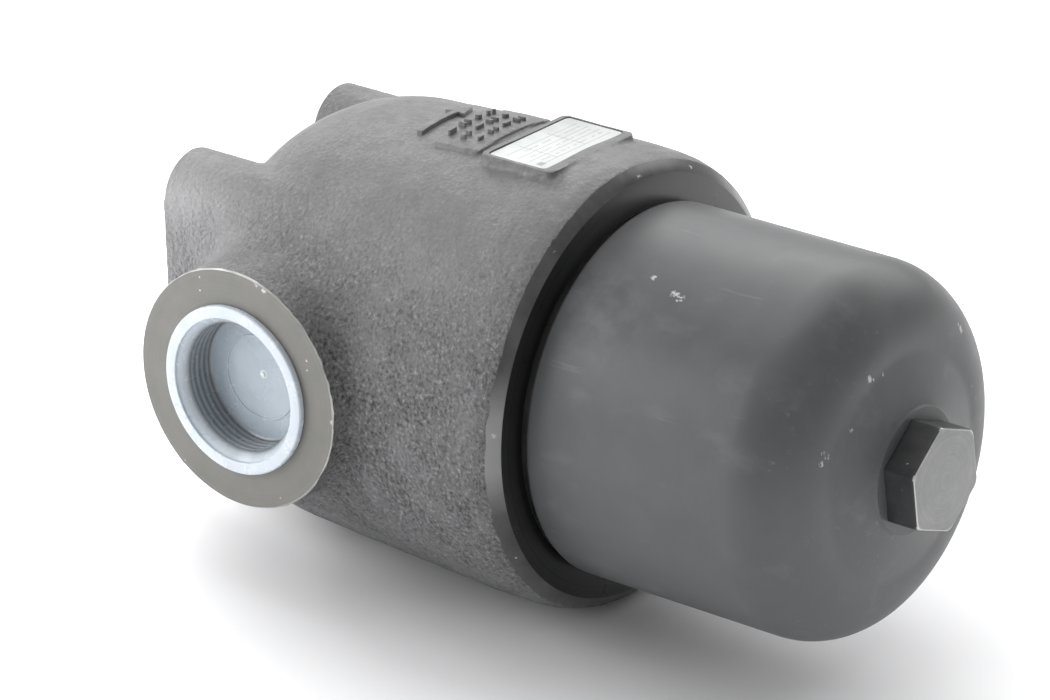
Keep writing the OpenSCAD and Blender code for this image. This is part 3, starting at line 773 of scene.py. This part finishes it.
# ------------------------------------------------------------------ bowl
HEX_TURN = 38.6
HEX_AF = 32.0
CHIPS = [((179.9, -28.8, 53.2), 1.4), ((190.2, -31.6, 51.6), 2.3), ((192.6, -32.9, 50.8), 2.0), ((252.0, -17.5, 35.1), 2.0), ((252.6, -15.0, 34.3), 1.2), ((252.4, -11.2, 34.0), 1.0),
         ((252.3, -27.4, 21.7), 1.4), ((252.1, -38.5, 17.5), 2.6), ((251.6, -40.6, 15.0), 2.0), ((250.0, 33.6, 33.5), 2.4), ((248.5, -20.2, -41.0), 1.2)]

def build_bowl():
    seg = 256
    st = 0.22
    r = BOWL_R
    end = HEX_FACE - 11.0 - 5.4
    shoulder = HEAD_LEN + 2.6
    out = [(NECK_X, 46.9), (NECK_X, 52.8), (NECK_X + 1.2, 54.0), (NECK_X + 5.9, 54.0), (NECK_X + 6.0, 53.9), (NECK_X + 6.1, 49.8), (NECK_X + 6.3, 49.6), (NECK_X + 12.9, 49.6), (NECK_X + 13.1, 49.8),
           (NECK_X + 13.1, 53.9), (NECK_X + 13.2, 54.0), (124.0, 54.0), (124.6, 54.6)]
    out += thread_rows(125.0, 149.6, 4.0, 57.42, 2.1, st, seg, taper=0.7)
    out += [(150.0, 55.6), (150.2, 55.5), (shoulder - 0.6, 55.5), (shoulder - 0.15, 55.7), (shoulder, 56.1), (shoulder, r - 2.6)]
    # wall, the large corner, then the end draws up in a shallow cone to the pad under the hexagon
    q = rounded([(r - 3.0, shoulder), (r, shoulder, 2.4), (r, end - 23.0)], n=10)
    q += [(r - 23.0 + 23.0 * math.cos(math.radians(a)), end - 23.0 + 23.0 * math.sin(math.radians(a))) for a in np.linspace(2, 86, 30)]
    q += rounded([(r - 23.0 + 1.6, end), (r - 23.0 - 1.0, end + 0.05, 12.0), (20.4 + 3.0, end + 3.7, 4.0), (20.4 + 0.45, end + 4.5, 0.8), (20.4, end + 5.0, 0.3), (20.2, end + 5.35, 0.3), (16.0, HEX_FACE - 11.0)], n=10)[1:]
    for a, b in q:
        out.append((b, a))
    inner = rounded([(0.001, 238.0), (46.5, 238.0, 6.0), (46.5, NECK_X, 0.0)], n=8)
    rows = [(238.0, 0)] + [(b, a) for a, b in inner[1:-1]]
    # long straight walls get rings so that the shading stays even
    rows += [(x, 46.5) for x in np.linspace(224, 104, 13)] + [(NECK_X + 1.4, 46.5)]
    rows += out + [(HEX_FACE - 11.0, 0)]
    ob = lathe("bowl_shell", rows, seg, sharp=34)
    # hexagon: broken edges, corners rubbed round towards the top
    def hex_loop(af, rc, n=6):
        pts = []
        R = (af / 2 - rc) / math.cos(math.pi / 6)
        for k in range(6):
            a = math.radians(HEX_TURN + 60 * k)
            for t in np.linspace(-30, 30, n + 1):
                b = a + math.radians(t)
                pts.append((R * math.cos(a) + rc * math.cos(b), R * math.sin(a) + rc * math.sin(b)))
        return pts
    F = HEX_FACE
    levels = [(F - 14.0, 32.0, 0.7), (F - 2.2, 32.0, 0.7), (F - 1.5, 32.0, 1.0), (F - 1.0, 31.98, 1.6), (F - 0.6, 31.9, 2.3), (F - 0.32, 31.7, 3.0), (F - 0.12, 31.4, 3.5), (F - 0.02, 31.0, 3.8), (F, 30.6, 4.0)]
    v = []; f = []
    for x, af, rc in levels:
        v += [(x, a, b) for a, b in hex_loop(af * HEX_AF / 32.0, rc)]
    n = len(v) // len(levels)
    for k in range(len(levels) - 1):
        f += [(k * n + j, k * n + (j + 1) % n, (k + 1) * n + (j + 1) % n, (k + 1) * n + j) for j in range(n)]
    f += [tuple(reversed(range(n))), tuple(range((len(levels) - 1) * n, len(levels) * n))]
    hx = new_obj("hex", v, f, smooth=True)
    fix_normals(hx)
    boolean(ob, hx, "UNION")
    merge_close(ob, 2e-6)
    ob.name = "bowl_body"; ob.data.name = "bowl_body"
    ob.data.polygons.foreach_set("use_smooth", np.ones(len(ob.data.polygons), bool))
    ob.data.set_sharp_from_angle(angle=math.radians(30))
    return ob

def bowl_rule(c, n):
    x = c[:, 0]; r = np.hypot(c[:, 1], c[:, 2])
    idx = np.zeros(len(c), int)                       # 0 satin outside
    idx[(x < 153.8)] = 1                              # 1 neck, threads and bore: plain turned steel
    idx[(r < 46.7) & (x < 238.2)] = 1
    side = (x > HEX_FACE - 10.95) & (np.abs(n[:, 0]) < 0.45) & (r > 15)
    idx[side] = 2                                     # 2 hexagon flanks
    idx[(x > HEX_FACE - 0.5) & (n[:, 0] > 0.5)] = 3   # 3 hexagon face
    ed = (x > HEX_FACE - 2.4) & (n[:, 0] > 0.45) & (n[:, 0] <= 0.995) & (r > 14.0)
    idx[ed] = 4                                       # 4 rubbed edge
    return idx

# ------------------------------------------------------------------ small parts
def build_plug():
    seg = 192
    prof = [(0.0, 11.6), (18.5, 11.6), (20.4, 11.55, 0.6), (21.2, 10.9, 0.6), (21.2, 1.9, 0.6), (24.0, -1.1, 0.4), (24.0, -2.1, 0.3), (27.7, -2.1, 0.5), (28.0, -1.6, 0.3), (28.0, -0.02, 0.2), (24.5, -0.02, 0.15),
            (22.34, 2.1, 0.3), (22.34, 11.6, 0.8), (21.2, 12.8, 0.6), (0.0, 12.8)]
    pts = rounded(prof, n=5)
    rows = []
    for i, (r, d) in enumerate(pts):
        first_or_last = i in (0, len(pts) - 1)
        rr = 0 if first_or_last else r
        rows.append((-d, rr))
    # shallow thread turns pressed into the outer wall
    k = max(i for i, (s, r) in enumerate(rows) if abs(r - 22.34) < 0.25 and s > -4)
    th = thread_rows(3.0, 11.0, 2.309, 22.34, 0.35, 0.4, seg, taper=0.7)
    rows = rows[:k + 1] + [(-s, r) for s, r in th] + [q for q in rows[k + 1:] if not (abs(q[1] - 22.34) < 0.02 and -11.2 < q[0] < -2.6)]
    ob = lathe("dust_plug", rows, seg, axis="-Y", origin=(PORT_X, -PORT_Y, 0), sharp=50)
    # gate nub and a shallow moulded ring on the floor of the cup
    nub = lathe("nub", [(-0.6, 0), (-0.6, 1.0), (0.35, 0.85), (0.6, 0.5), (0.62, 0)], 24, axis="-Y", origin=(PORT_X + 1.2, -PORT_Y + 11.6, 1.4))
    boolean(ob, nub, "UNION")
    ring = lathe("floor_ring", [(-0.5, 13.4), (0.22, 13.6), (0.22, 14.4), (-0.5, 14.6)], seg, axis="-Y", origin=(PORT_X, -PORT_Y + 11.6, 0), ring=True)
    boolean(ob, ring, "UNION")
    ob.name = "dust_plug"; ob.data.name = "dust_plug"
    ob.data.polygons.foreach_set("use_smooth", np.ones(len(ob.data.polygons), bool))
    ob.data.set_sharp_from_angle(angle=math.radians(50))
    return ob

def build_plate():
    pw, pl = NP_HI[0] - NP_LO[0], NP_HI[1] - NP_LO[1]
    return prism("plate_label", plate_loop(pw, pl, 1.6), NP_LO[2], NP_HI[2], origin=((NP_LO[0] + NP_HI[0]) / 2, 0, 0), bevel=0.16)

def seal(name, node, k=2.4):
    """Rubber ring with an oval section that fills the box of its CAD node."""
    lo, hi = mmbox(node)
    ro = (hi[1] - lo[1]) / 2
    co = np.array([v.co for v in frame["nodes"][node].data.vertices]) * 1000
    ri = float(np.hypot(co[:, 1], co[:, 2]).min())
    cx, cr, a, b = (lo[0] + hi[0]) / 2, (ro + ri) / 2, (hi[0] - lo[0]) / 2, (ro - ri) / 2
    rows = []
    for t in np.arange(20) * TAU / 20:
        c, s = math.cos(t), math.sin(t)
        rows.append((cx + a * math.copysign(abs(c) ** (2 / k), c), cr + b * math.copysign(abs(s) ** (2 / k), s)))
    return lathe(name, rows, 192, ring=True, sharp=None)

def coil(name, lo, hi, rm, wire, turns, seg=48, m=12):
    """Compression spring about X with closed, ground ends."""
    n = int(turns * seg)
    x0, x1 = lo + wire, hi - wire
    t = np.linspace(0, 1, n + 1)
    dead = 0.75 / turns
    prog = np.clip((t - dead) / (1 - 2 * dead), 0, 1)
    xs = x0 + (x1 - x0) * (prog * (1 - 2 * dead * 0.35) + np.clip(t / dead, 0, 1) * dead * 0.35 + np.clip((t - 1 + dead) / dead, 0, 1) * dead * 0.35)
    a = TAU * turns * t
    b = np.arange(m) * TAU / m
    X = xs[:, None] + wire * np.sin(b)[None]
    R = rm + wire * np.cos(b)[None] + 0 * X
    X = np.clip(X, lo + 0.25, hi - 0.25)
    V = np.stack([X, R * np.cos(a)[:, None], R * np.sin(a)[:, None]], -1).reshape(-1, 3)
    i = np.arange(n)[:, None] * m; j = np.arange(m)[None]
    F = np.stack([i + j, i + m + j, i + m + (j + 1) % m, i + (j + 1) % m], -1).reshape(-1, 4)
    faces = [tuple(q) for q in F] + [tuple(range(m)), tuple(reversed(range(n * m, n * m + m)))]
    ob = new_obj(name, V, faces, sharp=55)
    fix_normals(ob)
    ob.data.set_sharp_from_angle(angle=math.radians(55))
    return ob

# ------------------------------------------------------------------ materials
COLLAR_MARKS = [((62.3, -PORT_Y, 37.6), 1.1), ((65.6, -PORT_Y, 36.2), 1.3), ((39.0, -PORT_Y, 34.5), 0.6), ((39.2, -PORT_Y, 30.2), 0.6), ((82.5, -PORT_Y, 17.3), 0.8), ((82.8, -PORT_Y, 14.0), 0.8), ((92.3, -PORT_Y, -1.0), 1.1),
                ((30.0, -PORT_Y, -30.5), 0.7), ((70.0, -PORT_Y, -33.0), 0.6)]
RIM_MARKS = [((150.3, -70.4, 7.6), 1.3), ((151.0, 1.5, 70.0), 1.2), ((150.6, 28.7, 64.6), 1.3), ((150.5, -40, 58), 0.8), ((150.5, -60, -37), 0.9)]
HEX_MARKS = [((263.0, -4.3, 15.8), 0.9), ((264.5, -14.0, 9.0), 0.8), ((261.0, -15.9, 2.4), 0.7)]
M_CAST = mat_cast()
M_REAR = mat_machined("machined_rear_face", (0.43, 0.43, 0.43), (0.50, 0.50, 0.50), nick=0.5)
M_BORE = mat_machined("machined_bores", (0.36, 0.36, 0.36), (0.44, 0.435, 0.425), rough=(0.3, 0.42), metal=0.45)
M_COLLAR = mat_machined("port_face", (0.42, 0.42, 0.405), (0.46, 0.455, 0.44), rough=(0.46, 0.58), rings="Y", marks=COLLAR_MARKS, ring_amp=0.035)
# pale edges: real rubbed wear on the bowl's hexagon, a painted highlight on the head's chamfers
M_EDGE = mat_machined("rubbed_edge_and_painted_highlight", (0.66, 0.66, 0.65), (0.80, 0.80, 0.79), rough=(0.3, 0.42), metal=0.5, nick=0.6)
# painted shade and light: the ring face is coloured near black on the near side and fades paler towards the far side
M_RING = mat_machined("ring_face_painted_shade", (0.035, 0.035, 0.04), (0.055, 0.055, 0.06), rough=(0.26, 0.36), rings="X", metal=0.0, ring_amp=0.03, spec=0.35, fade=(-42, 20, (0.32, 0.32, 0.322)))
# painted light: the pale patch near the front of the cone stands in for light falling there
M_CONE = mat_machined("turned_cone", (0.25, 0.25, 0.25), (0.33, 0.33, 0.33), rough=(0.28, 0.40), metal=0.1, marks=RIM_MARKS, patch=((149.8, -70.0, 4.0), 9.0, 24.0, (0.56, 0.56, 0.56)))
M_BOWL = mat_bowl()
M_NECK = mat_machined("bowl_thread_steel", (0.38, 0.38, 0.38), (0.46, 0.46, 0.45), rough=(0.3, 0.42), metal=0.5)
M_HEXF = mat_machined("hex_face", (0.47, 0.475, 0.475), (0.55, 0.55, 0.55), rough=(0.38, 0.5), rings="X", nick=0.3, metal=0.15, ring_amp=0.16)
M_HEXS = mat_machined("hex_flank", (0.18, 0.185, 0.19), (0.25, 0.25, 0.255), rough=(0.36, 0.5), marks=HEX_MARKS, nick=0.25, metal=0.0, spec=0.35)
M_PLUG = mat_plug()
M_RUBBER = mat_simple("nitrile_rubber", (0.06, 0.06, 0.065), (0.10, 0.10, 0.105), rough=(0.42, 0.58), bump=0.03)
M_PTFE = mat_simple("ptfe_white", (0.86, 0.85, 0.80), (0.92, 0.91, 0.88), rough=(0.35, 0.45), bump=0.02)
M_STEEL = mat_simple("turned_steel", (0.56, 0.55, 0.53), (0.66, 0.65, 0.62), rough=(0.28, 0.4), metal=0.85, scale=6, bump=0.02, fine=0.4, stretch=(3, 1, 1), wear=0.3)
M_SPRING = mat_simple("spring_wire", (0.50, 0.50, 0.51), (0.62, 0.62, 0.63), rough=(0.25, 0.38), metal=0.9, scale=3, bump=0.02, fine=0.5)
M_PLATED = mat_simple("zinc_plated", (0.66, 0.67, 0.68), (0.76, 0.76, 0.74), rough=(0.3, 0.44), metal=0.8, scale=5, bump=0.02, fine=0.5, wear=0.2)
M_MEDIUM = mat_simple("filter_medium", (0.86, 0.83, 0.72), (0.93, 0.91, 0.83), rough=(0.8, 0.95), scale=3, bump=0.12, fine=0.35, spec=0.2)
M_WRAP = mat_simple("outer_wrap", (0.80, 0.81, 0.82), (0.88, 0.88, 0.88), rough=(0.45, 0.6), scale=4, bump=0.05, fine=0.4)
M_POT = mat_simple("potting_resin", (0.68, 0.58, 0.34), (0.78, 0.69, 0.45), rough=(0.25, 0.4), scale=6, bump=0.05, fine=1.2)

def mat_mesh():
    """Woven wire cloth for the support mesh."""
    m = Mat("woven_wire")
    x, y, z = m.xyz()
    a = m.math("MULTIPLY", m.math("ARCTAN2", y, z), 23.1)
    wx = m.math("SINE", m.math("MULTIPLY", x, TAU / 0.9)); wa = m.math("SINE", m.math("MULTIPLY", a, TAU / 0.9))
    h = m.math("MAXIMUM", wx, wa)
    n = m.noise(5, 3)
    base = m.mix(m.maprange(h, -0.2, 0.9), srgb((0.18, 0.18, 0.18)), m.mix(n, srgb((0.62, 0.62, 0.62)), srgb((0.75, 0.75, 0.74))))
    m.bump(h, 0.15, 0.9)
    m.set(base=base, rough=m.maprange(n, 0.3, 0.7, 0.28, 0.42), metal=0.85)
    return m.m

def mat_plate():
    """Printed foil label: pale ground, faint ruled form lines and small plain blocks; nothing legible."""
    m = Mat("printed_plate")
    x, y, z = m.xyz()
    cx = (NP_LO[0] + NP_HI[0]) / 2
    u = m.math("SUBTRACT", x, cx)           # across the plate
    def band(v, c, w):
        return m.math("LESS_THAN", m.math("ABSOLUTE", m.math("SUBTRACT", v, c)), w)
    ink = None
    def add(k):
        nonlocal ink
        ink = k if ink is None else m.math("MAXIMUM", ink, k)
    inside_y = m.math("LESS_THAN", m.math("ABSOLUTE", y), 17.6)
    for c in (-5.6, -1.2, 3.2, 7.6):
        add(m.math("MULTIPLY", band(u, c, 0.16), inside_y))
    for c in (-9.0, 5.0):
        add(m.math("MULTIPLY", band(y, c, 0.16), m.math("LESS_THAN", m.math("ABSOLUTE", u), 7.6)))
    # rows of tiny broken dashes
    dash = m.math("GREATER_THAN", m.math("SINE", m.math("MULTIPLY", y, 7.3)), 0.1)
    dash = m.math("MULTIPLY", dash, m.math("GREATER_THAN", m.noise(2.2, 1), 0.47))
    for c in (-3.4, 1.0, 5.4):
        add(m.math("MULTIPLY", m.math("MULTIPLY", band(u, c, 0.45), dash), m.math("LESS_THAN", m.math("ABSOLUTE", y), 16.0)))
    block = m.math("MULTIPLY", band(y, -16.6, 1.3), band(u, 7.2, 1.1))
    add(m.math("MULTIPLY", block, 1.0))
    n = m.noise(5, 4)
    base = m.mix(m.maprange(n, 0.3, 0.7), srgb((0.765, 0.78, 0.775)), srgb((0.80, 0.81, 0.805)))
    base = m.mix(m.math("MULTIPLY", ink, 0.55), base, srgb((0.25, 0.33, 0.32)))
    edge = m.math("GREATER_THAN", m.math("ABSOLUTE", y), 19.6)
    base = m.mix(m.math("MULTIPLY", edge, 0.3), base, srgb((0.6, 0.62, 0.62)))
    m.bump(m.noise(1.5, 3), 0.03, 0.6)
    m.set(base=base, rough=m.maprange(n, 0.3, 0.7, 0.3, 0.42), metal=0.0)
    return m.m

M_MESH = mat_mesh()
M_PLATE = mat_plate()

# ------------------------------------------------------------------ put it together
head = build_head()
paint_faces(head, [M_CAST, M_REAR, M_BORE, M_COLLAR, M_EDGE, M_RING, M_CONE], head_rule)
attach(head, "head"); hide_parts("filter_head")

plate = build_plate()
plate.data.materials.append(M_PLATE)
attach(plate, "head"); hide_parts("name_plate")

bowl = build_bowl()
paint_faces(bowl, [M_BOWL, M_NECK, M_HEXS, M_HEXF, M_EDGE], bowl_rule)
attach(bowl, "bowl"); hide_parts("bowl")

plug = build_plug()
paint_faces(plug, [M_PLUG], lambda c, n: np.zeros(len(c), int))
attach(plug, "dust_plug"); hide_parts("inlet_dust_plug")

for node, body, name in (("bowl_o_ring", "bowl", "bowl_seal"), ("spigot_seal_ring", "head", "spigot_seal"), ("element_seal_ring", "element", "element_seal")):
    o = seal(name, node)
    o.data.materials.append(M_RUBBER)
    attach(o, body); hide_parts(node)

o = coil("bypass_coil", SP_LO[0], SP_HI[0], 10.0, 1.1, 6)
o.data.materials.append(M_SPRING)
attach(o, "head"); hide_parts("bypass_spring")
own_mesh(o)
o = coil("element_coil", ES_LO[0], ES_HI[0], 12.0, 1.2, 3)
o.data.materials.append(M_SPRING)
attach(o, "element"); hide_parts("element_spring")

LOOK = {"bowl_backup_ring": M_PTFE, "element_spigot": M_STEEL, "bypass_poppet": M_STEEL, "bypass_seal": M_RUBBER, "bypass_guide": M_STEEL, "bypass_retaining_ring": M_SPRING,
        "element_top_cap": M_PLATED, "element_bottom_cap": M_PLATED, "element_media": M_MEDIUM, "element_support_mesh": M_MESH, "element_core_tube": M_PLATED,
        "element_outer_wrap": M_WRAP, "element_top_potting": M_POT, "element_bottom_potting": M_POT}
for node, mat in LOOK.items():
    o = frame["nodes"][node]
    o.data.materials.clear(); o.data.materials.append(mat)

# ------------------------------------------------------------------ floor, light and camera
def floor_z(x):
    return -0.0683 - 0.0478 * x

def build_stage():
    # the part lies on its belly, so the floor falls a little towards the bowl; it is flat all round, so it hides nothing from any side
    prof = [(y, 0.0) for y in (-3.0, -0.6, 0.0, 0.6, 3.0)]
    a = math.radians(38.87)
    back = np.array([-math.sin(a), math.cos(a)])
    side = np.array([math.cos(a), math.sin(a)])
    v = []
    for s in (-3.0, 3.0):
        for d, up in prof:
            p = side * s + back * d
            v.append((p[0] * 1000, p[1] * 1000, floor_z(p[0]) * 1000 + up * 1000))
    k = len(prof)
    f = [(i, i + 1, k + i + 1, k + i) for i in range(k - 1)]
    ob = new_obj("studio_floor", v, f, sharp=None)
    m = Mat("studio_white")
    t = m.noise(60, 3)
    m.set(base=m.mix(m.maprange(t, 0.3, 0.7), srgb((0.955, 0.955, 0.96)), srgb((0.965, 0.965, 0.97))), rough=0.75, spec=0.2)
    # painted light: the floor emits light of its own, none near the part and more further out, so the shadow stays
    # tight
    d = m.n.new("ShaderNodeVectorMath"); d.operation = "DISTANCE"
    m.l.new(m.P, d.inputs[0]); d.inputs[1].default_value = (135, 10, -74)
    painted_floor_glow = m.maprange(d.outputs["Value"], 90, 230, 0.0, 0.46)
    m.b.inputs["Emission Color"].default_value = (1, 1, 1, 1)
    m.put(m.b.inputs["Emission Strength"], painted_floor_glow)
    ob.data.materials.append(m.m)
    return ob

def area(name, loc, target, size, power, color=(1, 1, 1)):
    l = bpy.data.lights.new(name, "AREA"); l.energy = power; l.shape = "RECTANGLE"; l.size, l.size_y = size; l.color = color
    o = bpy.data.objects.new(name, l); bpy.context.scene.collection.objects.link(o)
    o.location = loc
    o.rotation_euler = (Vector(target) - Vector(loc)).to_track_quat("-Z", "Y").to_euler()
    o.visible_camera = False
    return o

build_stage()
A = math.radians(38.87)
fwd = Vector((-math.sin(A), math.cos(A), 0)); rgt = Vector((math.cos(A), math.sin(A), 0)); up = Vector((0, 0, 1))
mid = Vector((0.12, 0, 0))
area("key_left", Vector((-0.30, -0.34, 0.20)), Vector((0.05, -0.04, 0)), (0.34, 0.34), 2.1)
area("overhead", mid + fwd * 0.25 - rgt * 0.1 + up * 1.35, mid, (1.1, 0.8), 7.3)
area("back_glow", mid + fwd * 1.15 + rgt * 0.1 + up * 0.8, mid + fwd * 0.75 - up * 0.1, (3.0, 0.8), 26)
vs = bpy.context.scene.view_settings
vs.view_transform = "Standard"; vs.look = "None"; vs.exposure = 0.0; vs.gamma = 1.0

w = bpy.data.worlds.new("studio"); bpy.context.scene.world = w; w.use_nodes = True
bg = w.node_tree.nodes["Background"]; bg.inputs[0].default_value = (1, 1, 1, 1); bg.inputs[1].default_value = 0.47
# the camera sees a white background; the light on the part stays softer than that
lp = w.node_tree.nodes.new("ShaderNodeLightPath"); wm = w.node_tree.nodes.new("ShaderNodeMapRange")
wm.inputs[3].default_value = 0.47; wm.inputs[4].default_value = 0.97
w.node_tree.links.new(lp.outputs["Is Camera Ray"], wm.inputs[0]); w.node_tree.links.new(wm.outputs[0], bg.inputs[1])

cam = bpy.data.cameras.new("cam"); co = bpy.data.objects.new("cam", cam); bpy.context.scene.collection.objects.link(co)
e, rl = math.radians(23.26), math.radians(-0.64)
backv = Vector((math.sin(A) * math.cos(e), -math.cos(A) * math.cos(e), math.sin(e)))
rightv = Vector((math.cos(A), math.sin(A), 0)); upv = backv.cross(rightv)
R0 = rightv * math.cos(rl) + upv * math.sin(rl); U0 = -rightv * math.sin(rl) + upv * math.cos(rl)
Mx = Matrix(((R0.x, U0.x, backv.x, 1.1516), (R0.y, U0.y, backv.y, -1.2968), (R0.z, U0.z, backv.z, 0.7164), (0, 0, 0, 1)))
co.matrix_world = Mx
cam.sensor_width = 36; cam.lens = 5700 / 1050 * 36; cam.clip_end = 50
bpy.context.scene.camera = co
